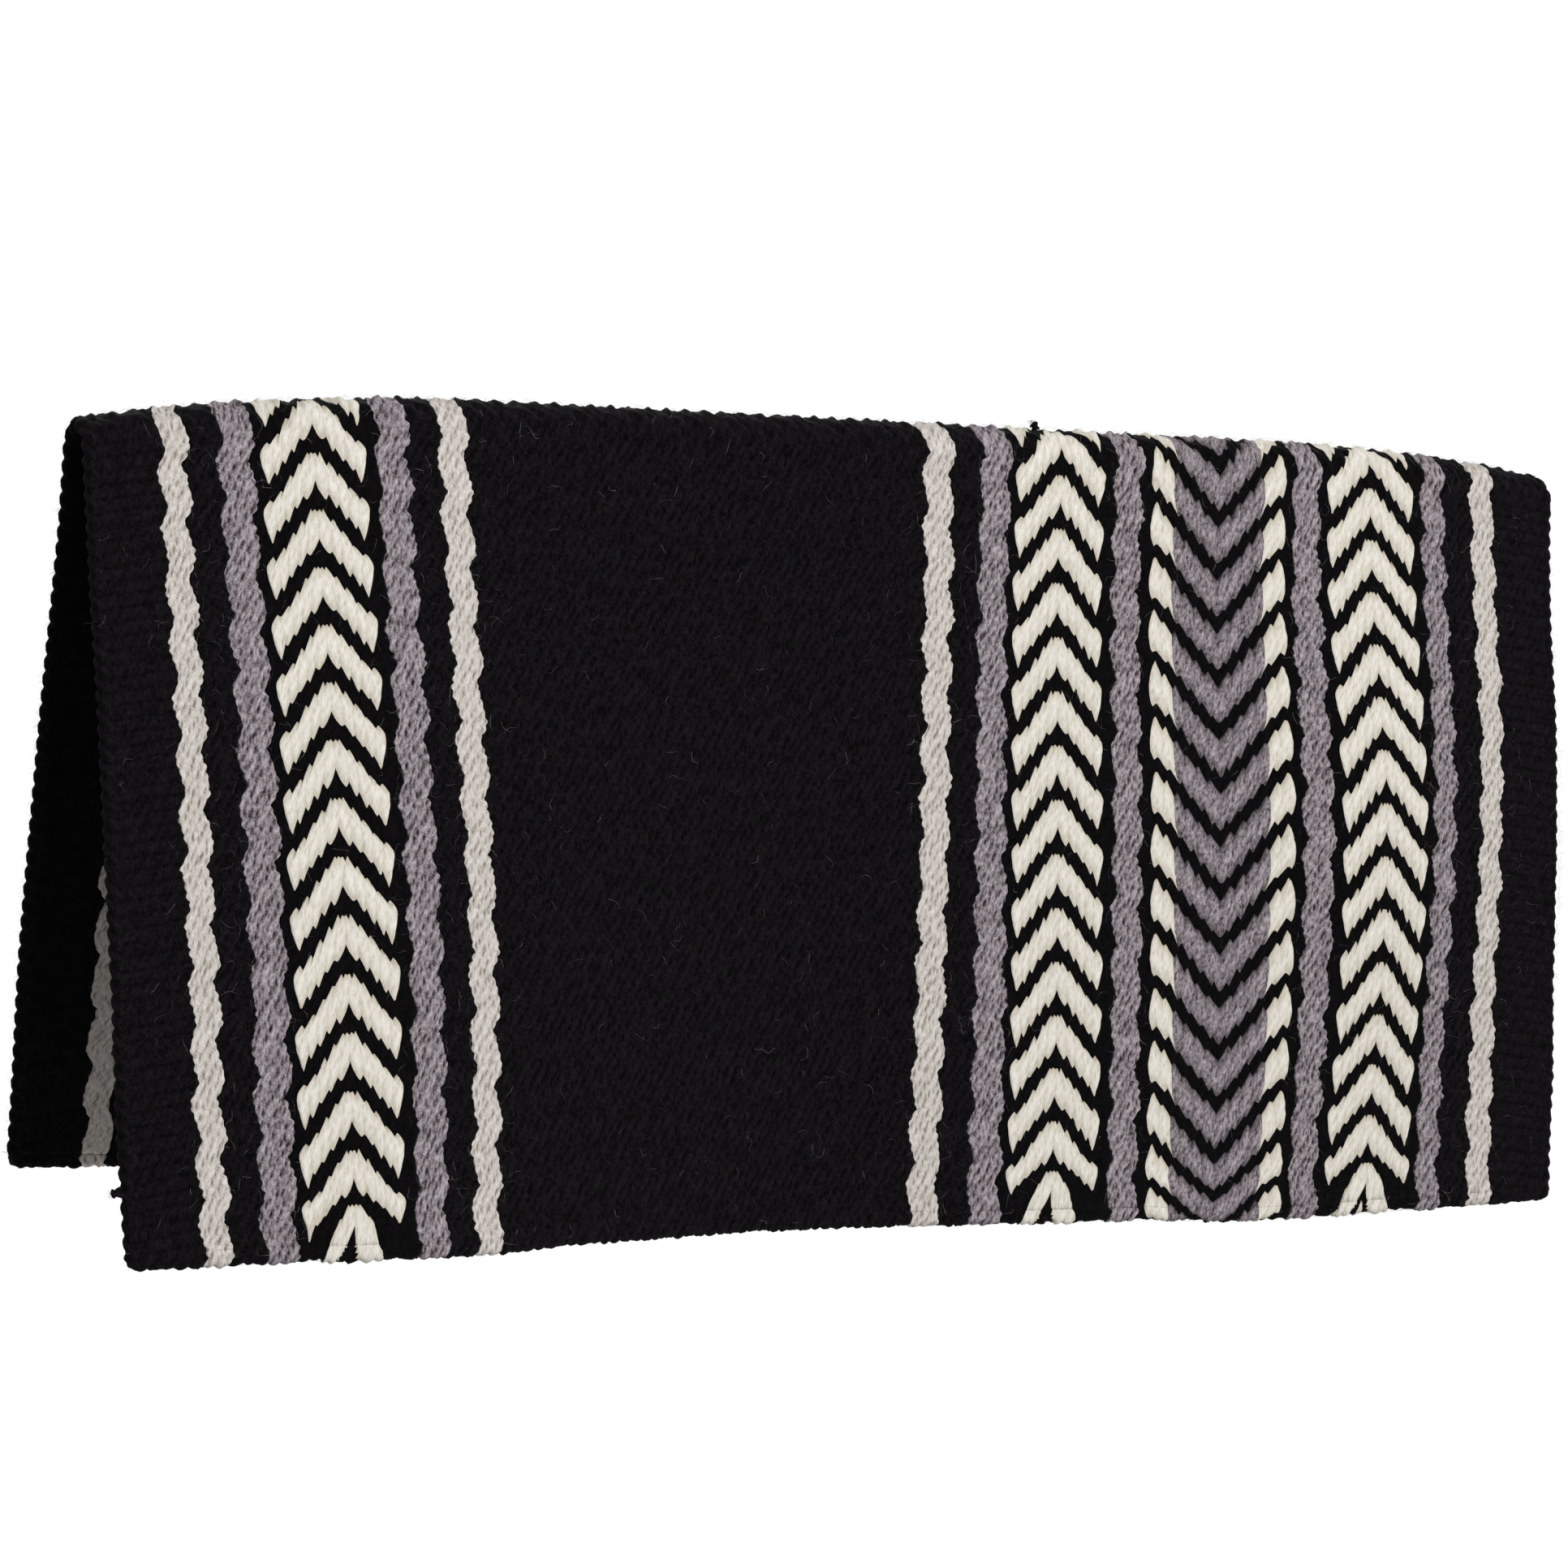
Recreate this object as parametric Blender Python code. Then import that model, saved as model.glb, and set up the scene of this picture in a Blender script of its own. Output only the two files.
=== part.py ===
"""A hand-woven wool saddle blanket, hung folded once over a rack rail.

X runs along the fold, +Z is up, -Y is the side that faces the viewer, and the origin is on top of
the rail, under the middle of the fold. Every stripe is a band of its own weft yarn that runs from
one hem, over the fold, to the other hem. The two halves hang from the fold, where they hinge.
"""

import math

import bmesh
import bpy

# The cloth
blanket_length = 0.9144  # along the fold, from the first weft to the last
front_drop = 0.452  # from the fold to the front hem, along the cloth
rear_drop = 0.412  # the fold is off centre, so the rear half is shorter
cloth_thickness = 0.007
clearance = 0.0003  # between pieces that touch

# The fold over the rail
fold_radius = 0.018  # outside of the fold
ridge_warp_radius = 0.001

# The bound edges
hem_cord_radius = 0.0036
end_cord_radius = 0.0036

# The ends are bound tighter than the middle, so they are shorter and the fold droops there
left_droop = 0.019
right_droop = 0.013
left_level_share = 0.48  # of half the length: the fold is level from the middle to here
right_level_share = 0.57
droop_power = 2.2

# How each half hangs: its lean away from the vertical, and how far it bellies out
front_left_lean = math.radians(7.4)
front_right_lean = math.radians(-0.9)
rear_left_lean = math.radians(11.6)
rear_right_lean = math.radians(8.0)
twist_start_share = -0.80  # of half the length, from the left lean
twist_end_share = 0.04  # to the right lean
front_belly = 0.013
rear_belly = 0.006
belly_start_share = 0.48
belly_end_share = 0.72

# Weft columns in each band, left to right, as shares of all the columns
band_shares = (
    ("left_end", "black", 13),
    ("grey_stripe_1", "grey", 6),
    ("black_line_1", "black", 5),
    ("purple_stripe_1", "purple", 7),
    ("chevron_band_1", "cream", 24),
    ("purple_stripe_2", "purple", 7),
    ("black_line_2", "black", 5),
    ("grey_stripe_2", "grey", 6),
    ("black_field", "black", 91),
    ("grey_stripe_3", "grey", 6),
    ("black_line_3", "black", 5),
    ("purple_stripe_3", "purple", 7),
    ("chevron_band_2", "cream", 24),
    ("purple_stripe_4", "purple", 7),
    ("diamond_band", "cream", 35),
    ("purple_stripe_5", "purple", 7),
    ("chevron_band_3", "cream", 24),
    ("purple_stripe_6", "purple", 6),
    ("black_line_4", "black", 6),
    ("grey_stripe_4", "grey", 6),
    ("right_end", "black", 12),
)

# Facets
station_pitch = 0.025  # along the fold
arch_steps = 5
fall_steps = 7
groove_steps = 4
cord_sides = 8

# Wool colours, linear
WOOL = {
    "black": (0.006, 0.005, 0.007),
    "grey": (0.60, 0.57, 0.53),
    "purple": (0.30, 0.26, 0.29),
    "cream": (0.78, 0.75, 0.65),
}
WOOL_ROUGHNESS = 0.9

FRONT = -1
REAR = 1
half_length = blanket_length / 2
mid_radius = fold_radius - cloth_thickness / 2
hinge_height = cloth_thickness


def clear_scene():
    """Remove whatever the opened file holds."""
    for old in list(bpy.data.objects):
        bpy.data.objects.remove(old, do_unlink=True)


def wool(name, colour):
    """A material of its own for each piece, in one of the wool colours."""
    material = bpy.data.materials.new(name)
    material.use_nodes = True
    shader = material.node_tree.nodes["Principled BSDF"]
    shader.inputs["Base Color"].default_value = (*WOOL[colour], 1)
    shader.inputs["Roughness"].default_value = WOOL_ROUGHNESS
    shader.inputs["Metallic"].default_value = 0
    return material


def ramp(value, start, end):
    """0 before start, 1 after end, and a smooth step between them."""
    share = min(max((value - start) / (end - start), 0), 1)
    return share * share * (3 - 2 * share)


def droop(x):
    """How far the fold at x hangs below the middle of the fold."""
    depth, level = (left_droop, left_level_share) if x < 0 else (right_droop, right_level_share)
    beyond = max(abs(x) / half_length - level, 0) / (1 - level)
    return depth * beyond**droop_power


def lean(x, side):
    """The half's lean from the vertical at x, which twists along the blanket."""
    left, right = (front_left_lean, front_right_lean)
    if side == REAR:
        left, right = (rear_left_lean, rear_right_lean)
    return left + (right - left) * ramp(x / half_length, twist_start_share, twist_end_share)


def belly(x, side):
    """How far the half swells out, halfway down, at x."""
    depth = front_belly if side == FRONT else rear_belly
    return depth * ramp(x / half_length, belly_start_share, belly_end_share)


def drop(x, side):
    """Fold to hem along the cloth: the bound ends are drawn in by what the fold droops."""
    return (front_drop if side == FRONT else rear_drop) - droop(x)


def cloth(x, side, down):
    """The middle of the cloth at x, this far down it from the fold.

    Returns the distance out from the fold, the height, and the outward normal.
    """
    turn = math.pi / 2 - lean(x, side)
    arch = mid_radius * turn
    top = hinge_height - cloth_thickness / 2 - droop(x)
    if down <= arch:
        angle = down / mid_radius
        out, height = mid_radius * math.sin(angle), top - mid_radius * (1 - math.cos(angle))
        return out, height, math.sin(angle), math.cos(angle)
    fall = drop(x, side) - arch
    share = (down - arch) / fall
    swell = belly(x, side) * math.sin(math.pi * share) ** 2
    slope = belly(x, side) * math.pi * math.sin(2 * math.pi * share) / fall
    along, across = math.cos(turn), math.sin(turn)
    out = mid_radius * across + (down - arch) * along + swell * across
    height = top - mid_radius * (1 - along) - (down - arch) * across + swell * along
    steep = math.hypot(1, slope)
    return out, height, (across - slope * along) / steep, (along + slope * across) / steep


def rows(x, side):
    """Distances down the cloth: round the fold's arch, then down to the hem cord."""
    arch = mid_radius * (math.pi / 2 - lean(x, side))
    end = drop(x, side) - 2 * hem_cord_radius - clearance
    bend = [arch * step / arch_steps for step in range(1, arch_steps + 1)]
    return bend + [arch + (end - arch) * step / fall_steps for step in range(1, fall_steps + 1)]


def groove():
    """The half-round groove for the ridge warp, as (out, height) from the cloth's middle."""
    radius = ridge_warp_radius + clearance
    widest = math.acos(clearance / 2 / radius)
    angles = [widest * (1 - 2 * step / groove_steps) for step in range(groove_steps + 1)]
    return [(radius * math.cos(angle), radius * math.sin(angle)) for angle in angles]


def band_section(x, side):
    """The band's outline across the cloth at x: outside, hem edge, inside, then the fold's face."""
    top = hinge_height - cloth_thickness / 2 - droop(x)
    half = cloth_thickness / 2
    face = clearance / 2
    outside, inside = [(face, top + half)], [(face, top - half)]
    for down in rows(x, side):
        out, height, out_normal, up_normal = cloth(x, side, down)
        outside.append((out + half * out_normal, height + half * up_normal))
        inside.append((out - half * out_normal, height - half * up_normal))
    notch = [(out, top + height) for out, height in groove()]
    points = outside + inside[::-1] + notch[::-1]
    return [(x, side * out, height - hinge_height) for out, height in points]


def stations(left, right):
    """Places along the fold from left to right, no further apart than the station pitch."""
    count = max(1, math.ceil((right - left) / station_pitch))
    return [left + (right - left) * step / count for step in range(count + 1)]


def band_edges():
    """Where each band starts and ends along the fold, between the two end cords."""
    column = blanket_length / sum(share for _, _, share in band_shares)
    edges, x = [], -half_length
    for _, _, share in band_shares:
        edges.append((x, x + share * column))
        x += share * column
    first = -half_length + 2 * end_cord_radius + clearance / 2
    edges[0] = (first, edges[0][1])
    edges[-1] = (edges[-1][0], -first)
    return edges


def add_piece(name, mesh, colour, parent):
    """Finish a mesh as one closed, smooth-shaded object that hangs from its parent."""
    mesh.shade_smooth()
    mesh.set_sharp_from_angle(angle=math.radians(35))
    mesh.materials.append(wool(name, colour))
    piece = bpy.data.objects.new(name, mesh)
    bpy.context.collection.objects.link(piece)
    piece.parent = parent
    return piece


def skin(name, rings, ladder=0):
    """A closed mesh through equal rings of points.

    With a ladder, each end is closed by that many quads between its outside and its inside, and
    what is left of the ring, round the groove, by one face.
    """
    shape = bmesh.new()
    loops = [[shape.verts.new(point) for point in ring] for ring in rings]
    size = len(rings[0])
    for near, far in zip(loops, loops[1:]):
        for here in range(size):
            after = (here + 1) % size
            shape.faces.new((near[here], near[after], far[after], far[here]))
    for loop in (loops[0], loops[-1]):
        if not ladder:
            shape.faces.new(loop)
            continue
        last = 2 * ladder + 1
        for step in range(1, ladder):
            rung = (step, step + 1, last - step - 1, last - step)
            shape.faces.new([loop[index] for index in rung])
        shape.faces.new([loop[0], loop[1], *loop[last - 1 :]])
    bmesh.ops.recalc_face_normals(shape, faces=shape.faces)
    mesh = bpy.data.meshes.new(name)
    shape.to_mesh(mesh)
    shape.free()
    return mesh


def ring(centre, across, up, radius):
    """A circle of points round a cord's centre, in the plane of two unit directions."""
    points = []
    for step in range(cord_sides):
        angle = 2 * math.pi * (step + 0.5) / cord_sides
        out, rise = radius * math.cos(angle), radius * math.sin(angle)
        points.append([c + out * a + rise * u for c, a, u in zip(centre, across, up)])
    return points


def weft_band(name, colour, left, right, side, parent):
    """One colour's weft yarn on one half, from the fold down to the hem cord."""
    inset = clearance / 2
    places = stations(left + inset, right - inset)
    sections = [band_section(x, side) for x in places]
    mesh = skin(name, sections, ladder=arch_steps + fall_steps)
    return add_piece(name, mesh, colour, parent)


def hem_cord(name, side, parent):
    """The outermost warp, wrapped by every weft as it turns back at the hem."""
    places = [-half_length]
    for left, right in band_edges():
        places += stations(left, right)[:-1]
    places += [band_edges()[-1][1], half_length]
    rings = []
    for x in places:
        out, height, _, _ = cloth(x, side, drop(x, side) - hem_cord_radius)
        centre = (x, side * out, height - hinge_height)
        rings.append(ring(centre, (0, 1, 0), (0, 0, 1), hem_cord_radius))
    return add_piece(name, skin(name, rings), "black", parent)


def end_cord(name, x, side, parent):
    """The twisted cord that binds the first or the last weft, from the fold to the hem cord."""
    top = hinge_height - cloth_thickness / 2 - droop(x)
    start = (x, side * clearance / 2, top - hinge_height)
    rings = [ring(start, (1, 0, 0), (0, 0, 1), end_cord_radius)]
    for down in rows(x, side):
        out, height, out_normal, up_normal = cloth(x, side, down)
        centre = (x, side * out, height - hinge_height)
        rings.append(ring(centre, (1, 0, 0), (0, side * out_normal, up_normal), end_cord_radius))
    return add_piece(name, skin(name, rings), "black", parent)


def ridge_warp(parent):
    """The one warp that lies along the fold, in the grooves of both halves."""
    first = -half_length + 2 * end_cord_radius + clearance
    places = [first]
    for left, right in band_edges():
        places += stations(left, right)[1:]
    places[-1] = -first
    height = -cloth_thickness / 2
    rings = [
        ring((x, 0, height - droop(x)), (0, 1, 0), (0, 0, 1), ridge_warp_radius) for x in places
    ]
    return add_piece("ridge_warp", skin("ridge_warp", rings), "black", parent)


def hinge_line(name):
    """An empty on the outside of the fold, where a half hinges."""
    pivot = bpy.data.objects.new(name, None)
    pivot.location = (0, 0, hinge_height)
    pivot.empty_display_size = cloth_thickness
    bpy.context.collection.objects.link(pivot)
    return pivot


def hanging_half(side, prefix):
    """Every piece of one half of the blanket."""
    pivot = hinge_line(prefix + "_half")
    for (name, colour, _), (left, right) in zip(band_shares, band_edges()):
        weft_band(f"{prefix}_{name}", colour, left, right, side, pivot)
    hem_cord(f"{prefix}_hem_cord", side, pivot)
    cord_place = half_length - end_cord_radius
    end_cord(f"{prefix}_left_end_cord", -cord_place, side, pivot)
    end_cord(f"{prefix}_right_end_cord", cord_place, side, pivot)


clear_scene()
ridge_warp(hinge_line("ridge"))
hanging_half(FRONT, "front")
hanging_half(REAR, "rear")
bpy.context.view_layer.update()
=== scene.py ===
"""The looks of a hand-woven wool saddle blanket that hangs folded once over a rack rail.

Every stripe is woven here as grains of weft yarn in relief, draped by the same measures as the
part. All lengths are in metres, and s is a length along the cloth: down the front from the fold,
and with a minus sign down the rear.
"""

import math
from types import SimpleNamespace

import bpy
import numpy as np
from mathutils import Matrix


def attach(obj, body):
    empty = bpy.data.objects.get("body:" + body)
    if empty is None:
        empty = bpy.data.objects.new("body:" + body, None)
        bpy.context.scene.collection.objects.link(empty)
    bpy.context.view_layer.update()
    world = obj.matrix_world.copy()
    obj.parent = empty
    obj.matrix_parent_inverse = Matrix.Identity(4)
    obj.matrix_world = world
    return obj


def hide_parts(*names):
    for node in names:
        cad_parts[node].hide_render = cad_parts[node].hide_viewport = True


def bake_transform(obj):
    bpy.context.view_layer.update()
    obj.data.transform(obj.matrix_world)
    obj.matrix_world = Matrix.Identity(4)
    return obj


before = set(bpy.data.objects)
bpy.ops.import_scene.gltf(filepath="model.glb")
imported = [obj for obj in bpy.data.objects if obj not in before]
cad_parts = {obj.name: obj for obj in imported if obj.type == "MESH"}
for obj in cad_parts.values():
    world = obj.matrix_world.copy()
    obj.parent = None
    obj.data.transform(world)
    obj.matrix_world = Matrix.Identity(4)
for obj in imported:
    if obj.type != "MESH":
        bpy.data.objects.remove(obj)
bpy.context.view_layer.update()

# The cloth, as the part has it
blanket_length = 0.9144
front_drop = 0.452
rear_drop = 0.412
cloth_thickness = 0.007
fold_radius = 0.018
hem_cord_radius = 0.0036
end_cord_radius = 0.0036
left_droop = 0.019
right_droop = 0.013
left_level_share = 0.48
right_level_share = 0.57
droop_power = 2.2
leans = {
    "front": (math.radians(7.4), math.radians(-0.9)),
    "rear": (math.radians(11.6), math.radians(8.0)),
}
twist_shares = (-0.80, 0.04)
bellies = {"front": 0.013, "rear": 0.006}
belly_shares = (0.48, 0.72)
drops = {"front": front_drop, "rear": rear_drop}
out_signs = {"front": -1, "rear": 1}

half_length = blanket_length / 2
half_cloth = cloth_thickness / 2
mid_radius = fold_radius - half_cloth
hinge_height = cloth_thickness

# The bands, left to right: name, kind, wool, the place of the left edge, and the phase of its wave
bands = (
    ("left_end", "rows", "black", -0.4552, 0.0),
    ("grey_stripe_1", "grains", "grey", -0.4171, 0.41),
    ("black_line_1", "grains", "black", -0.4027, 0.33),
    ("purple_stripe_1", "grains", "purple", -0.3845, 0.30),
    ("chevron_band_1", "chevrons", "cream", -0.3663, 0.35),
    ("purple_stripe_2", "grains", "purple", -0.2965, 0.29),
    ("black_line_2", "grains", "black", -0.2787, 0.27),
    ("grey_stripe_2", "grains", "grey", -0.2611, 0.30),
    ("black_field", "grains", "black", -0.2454, 0.28),
    ("grey_stripe_3", "grains", "grey", 0.0275, 0.20),
    ("black_line_3", "grains", "black", 0.0449, 0.22),
    ("purple_stripe_3", "grains", "purple", 0.0638, 0.18),
    ("chevron_band_2", "chevrons", "cream", 0.0823, 0.24),
    ("purple_stripe_4", "grains", "purple", 0.1533, 0.24),
    ("diamond_band", "diamonds", "cream", 0.1709, 0.22),
    ("purple_stripe_5", "grains", "purple", 0.2766, 0.25),
    ("chevron_band_3", "chevrons", "cream", 0.2943, 0.27),
    ("purple_stripe_6", "grains", "purple", 0.3651, 0.13),
    ("black_line_4", "grains", "black", 0.3798, 0.06),
    ("grey_stripe_4", "grains", "grey", 0.3992, 0.02),
    ("right_end", "rows", "black", 0.4148, -0.09),
    ("", "", "", 0.4552, 0.0),
)
wool_slots = {"black": 0, "grey": 1, "purple": 2, "cream": 3}
black, grey, purple, cream = wool_slots.values()

# The edges whose waves are shorter than a chevron, by the number of the band to their right
wave_pitches = {1: 0.0290, 2: 0.0292, 3: 0.0295, 4: 0.0295}

# The weave
pattern_pitch = 0.0299  # one chevron, and one wave of a stripe's edge
wave_height = 0.0021
wave_stray = 0.5
wave_rise_share = 0.66
wave_bow = 1.5
edge_nub = 0.0013
edge_nub_length = 0.0048
edge_nub_least = 0.3
edge_nub_phase = 0.37
edge_inset = 0.0013  # how far a coloured stripe falls short of its place in the table
# Each wool's grains: their width and length, the lines and rows that draw one, and its depth
grain_forms = {
    "grey": (0.0037, 0.0075, 6, 6, 0.0009),
    "purple": (0.0036, 0.0075, 6, 6, 0.0011),
    "black": (0.0042, 0.0070, 3, 5, 0.0010),
}
inner_depth_share = 0.3
level_bulge = 0.8  # the bulge that lies level with the cloth's own surface
rib_share = 0.4

# Where the grains meet there is a slit: each is one step of the first or the second kind from the next
first_step = (0.0031, 0.0036)
second_step = (-0.0022, 0.0034)
slit_lean = 0.24
slit_reach = {"grey": 0.00052, "purple": 0.00072, "black": 0.0009, "cream": 0.0005}
slit_length = 0.0022
slit_strays = (0.0013, 0.0026)
slit_most = 1.6
slit_fade = 0.6
seam_share = 0.16
wander = 0.0005
wander_lengths = (0.0190, 0.0150)
wander_phases = (1.7, 2.9)
wander_bend = 2
wander_bend_length = 0.0260
lump_height = 0.0004
lump_lengths = (0.0113, 0.0137)
lump_bends = (1.4, 1.7)
lump_bend_lengths = (0.0230, 0.0310)
lump_phase = 0.9
slow_lump_lengths = (0.0470, 0.0610)
slow_lump_phase = 2.0
lump_shares = (0.7, 0.3, 0.6)
fold_lump = 2.2
fold_lump_reach = 0.030

# What makes chance() uneven, and the numbers that keep its uses apart
chance_factors = (12.9898, 78.233, 37.719)
chance_start = 0.5
chance_spread = 43758.5453
wave_key, nub_key, slit_key, top_key, foot_key, loop_key = 5, 9, 1, 1, 2, 3

# Chevrons and diamonds: waves of light lobes between dark arms
forms = {
    "chevrons": SimpleNamespace(
        lobes=5, lobe_lines=8, widest=0.0305, slope=1.08, way=1, apex_round=0.0055,
        dark_shares=(0.54, 0.34, 0.25, 0.24, 0.26, 0.33, 0.30),
        contour_places=(0, 0.08, 0.20, 0.32, 0.58, 0.78, 1),
        contour_insets=(0.0046, 0.0030, 0.0012, 0.0006, 0.0013, 0.0024, 0.0038),
    ),
    "diamonds": SimpleNamespace(
        lobes=6, lobe_lines=10, widest=0.0474, slope=0.95, way=-1, apex_round=0.0036,
        dark_shares=(0.32, 0.27, 0.22, 0.20, 0.21, 0.26, 0.24),
        contour_places=(0, 0.12, 0.30, 0.54, 0.77, 0.92, 1),
        contour_insets=(0.0033, 0.0023, 0.0013, 0.0005, 0.0010, 0.0020, 0.0031),
    ),
}
border_lines = 6
light_rows = 14
dark_rows = 6
rows_per_pitch = light_rows + dark_rows
# Each pattern's centre, phase and darkness, and how far it lies below its even places and right of
# its centre, at five places down the front
pattern_downs = (0.060, 0.150, 0.240, 0.330, 0.400)
still = (0, 0, 0, 0, 0)
patterns = {
    "chevron_band_1": (-0.3322, 0.94, 1.0, (0.0009, 0.0004, 0.0004, 0.0004, -0.0004),
                       (0, -0.0004, -0.0004, -0.0005, -0.0008)),
    "chevron_band_2": (0.1165, 0.93, 0.93, (-0.0013, -0.0006, 0.0004, 0.0005, -0.0007), still),
    "chevron_band_3": (0.3295, 0.91, 0.88, (-0.0022, -0.0013, 0.0006, 0.0018, 0),
                       (0, 0.0003, 0.0012, 0.0018, 0.0008)),
    "diamond_band": (0.2246, 0.70, 1.0, (-0.0002, 0.0005, 0.0018, 0.0036, 0.0028), still),
}
end_level_share = 0.80
end_slope_share = 0.80
dark_places = (0, 0.06, 0.12, 0.3, 0.6, 0.8, 1)
lobe_tooth = 0.0017
tooth_share = 0.72
tooth_stray = 0.5
lobe_stray = 0.0008
lobe_lean = 0.17
lobe_lean_power = 6
arm_length = 0.7 * pattern_pitch
lobe_end_power = 0.45
puff_share = 0.24
lobe_depth = 0.0014
cream_grain_share = 0.55
purple_grain_share = 0.90
dark_level = 0.1
dark_grain_share = 0.3
cream_lobes = 2
spare_pitches = 2
hair = 1e-6  # puts a line on a lobe's edge in the next lobe

# The cloth's unevenness: stripes that sway sideways, in millimetres, and a hem that isn't quite level
sway_downs = (-0.060, 0.020, 0.095, 0.150, 0.200, 0.255, 0.305, 0.360, 0.430)
sway_places = (-0.457, -0.390, -0.280, 0.035, 0.080, 0.160, 0.285, 0.372, 0.407, 0.457)
sways = (
    (0, -1.4, -0.9, 0.2, 0.4, 0.4, 0.8, 0.1, 1.6),
    (0, -2.6, -1.8, 0.3, 0.6, 0.7, 1.5, 0.2, 0.8),
    (0, -3.8, -2.4, -0.5, 0.9, 2.6, 2.5, 1.3, -1.4),
    (0, 2.1, 2.2, 1.8, 1.3, 0.4, -0.9, -2.7, -5.4),
    (0, 2, -0.4, -0.5, -0.3, 0.3, 0.5, 0.2, -2.4),
    (0, 0.9, -1.6, -1.1, 0.5, 0.9, 0.9, 0.3, -1.2),
    (0, -1.9, -3.4, -0.8, 1.9, 2.4, 2.2, 1.4, -2.1),
    (0, -0.4, 0.4, 1.6, 1.7, 0.6, -1, -2, -1.2),
    (0, 0.3, 1.5, 1.7, 0.1, -1.9, -2.6, -0.3, 1.2),
    (0, 2.5, 0.4, 0.4, -1.4, -1.8, 0, 5, 5),
)
hem_places = (-0.457, -0.380, -0.260, -0.195, -0.087, 0.0, 0.100, 0.175, 0.240, 0.305, 0.372,
              0.430, 0.457)
hem_rises = (0.0004, 0.0018, 0.0015, 0.0054, 0.0073, 0.0068, 0.0046, 0.0040, 0.0010, 0.0018,
             0.0038, 0.0060, 0.0072)
corner_rise = 0.004
corner_reach = 0.006
rear_hem_fall = 0.003
rear_left_belly = 0.009
rear_left_belly_share = 0.30
rear_left_flare = 0.007
flare_shares = (0.45, 0.78)

# The hem's loops, and how much closer together the rows of a pattern lie near it
hem_rows = 4
wrap_rows = 8
loop_width = 0.0072
loop_proud = (0.0005, 0.0012)
loop_roundness = 0.8
gather_reach = 0.034
gather_share = 0.72

# The last chevron at the front hem, with steep arms around a black drop
steep_rises = (0.0342, 0.0262)
hem_steepening = 1.4
loop_half = 0.020
drop_rises = (0.0220, 0.0120)
drop_slope = 3.0
drop_lean = 0.30
lean_rise = 0.018
last_light_rise = 0.006

# The edge yarn at each end, which runs down in plump slanted turns
cord_width = 0.0032
cord_squeeze = 0.0010
cord_turn = 0.0170
cord_sides = 12
cord_step = 0.0012

# The yarn inside the fold
ridge_radius = 0.00055
ridge_offset = 0.00045
ridge_turn = 0.007
ridge_step = 0.0015
ridge_sides = 6
ridge_gap = 0.0003

# Stray fibres along the edges of the stripes and over the whole cloth
fibre_joints = 6
fibre_curl = 0.55
fibre_arc_share = 0.75
fibre_root = 0.0004
fibre_radii = (0.000012, 0.000030)
fibre_lengths = (0.0040, 0.0120)
fibre_rises = (0.0006, 0.0018)
taper, taper_start, taper_span = 0.65, 0.12, 0.80
shortest = 1e-9
edge_fibres = 1200
field_fibres = 700
fuzz_reach = 0.0045
fuzz_margin = 0.003
fuzz_hem_margin = 0.006

# Stray fibres along the fold, round the hem and at the cloth's ends
rim_fibres = 500
rim_thickness = 1.3
rim_rises = (0.0004, 0.0012)
fold_fuzz_reach = 0.008
fold_fibre_lengths = (0.002, 0.006)
fold_fibre_rises = (0.001, 0.0026)
hem_fibre_lengths = (0.0015, 0.004)
hem_fuzz_turns = (0.35, 0.5, 0.65)
hem_fuzz_turn = 0.9
end_fibre_lengths = (0.002, 0.005)
end_fuzz_margin = 0.0025
end_fuzz_turn = 0.8

# Each loose end's x, place down the cloth, heading from the cloth, length and radius
loose_ends = {"front": [(0.1108, 0.001, 1.8, 0.0046, 0.0021), (-0.4560, 0.394, 3.1, 0.0058, 0.0023)],
              "rear": []}
stub_joints = 12
stub_sides = 10
stub_bend = 0.5
stub_root = 0.001
stub_tip_share = 0.25
stub_swell = 0.25
stub_twist = 9
stub_fibres = 30
fray_reach = 0.0006
fray_turn = 1.2
fray_lengths = (0.001, 0.003)
fray_rise = 0.001
fray_thickness = 2.0

# The wool, with the scale and detail of its noises: tufts, fine fibres and patches
grain_inputs = ("Grain Width", "Grain Length", "Lean")
wool_noises = ((1.0, 2.0), (3.1, 2.0), (0.22, 1.0))
heather_shares = (0.5, 0.3, 0.2)
height_shares = (0.7, 0.4)
wool_roughness = 0.95
wool_shine = 0.04
sheen_weight = 0.03
sheen_roughness = 0.5
# the bulge from which on the wool's colour has no painted crease shade
unshaded_bulge = 0.95

# Stage, camera and light
floor_height = -1.5
floor_radius = 1.6
floor_sides = 96
floor_colour = (0.80, 0.80, 0.80, 1)
floor_roughness = 0.9
camera_yaw = math.radians(29.0)
camera_distance = 2.683
camera_side = 0.050
camera_height = -0.241
sight_offset = 0.014
sight_limit = 50
sensor_width = 36
focal_pixels = 6065
picture_pixels = 1932
horizon_pixel = 1075
world_strength = 0.18
light_aim = (0, 0, -0.2)
# Each light's name, place, size in metres and power in watts
lights = (
    ("Key light", (0.0, -3.1, 1.4), 1.4, 106),
    ("Fill light", (2.4, -2.2, 0.4), 2.0, 9),
    ("Back light", (0.3, 2.6, 1.8), 2.0, 60),
)


def smooth_step(value, start, end):
    """0 before start, 1 after end, and a smooth step between them."""
    share = np.clip((value - start) / (end - start), 0, 1)
    return share * share * (3 - 2 * share)


def droop(x):
    """How far the fold at x hangs below the middle of the fold."""
    left = x < 0
    depth = np.where(left, left_droop, right_droop)
    level = np.where(left, left_level_share, right_level_share)
    beyond = np.maximum(np.abs(x) / half_length - level, 0) / (1 - level)
    return depth * beyond**droop_power


def lean(x, half):
    """The half's lean from the vertical at x."""
    left, right = leans[half]
    return left + (right - left) * smooth_step(x / half_length, *twist_shares)


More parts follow.
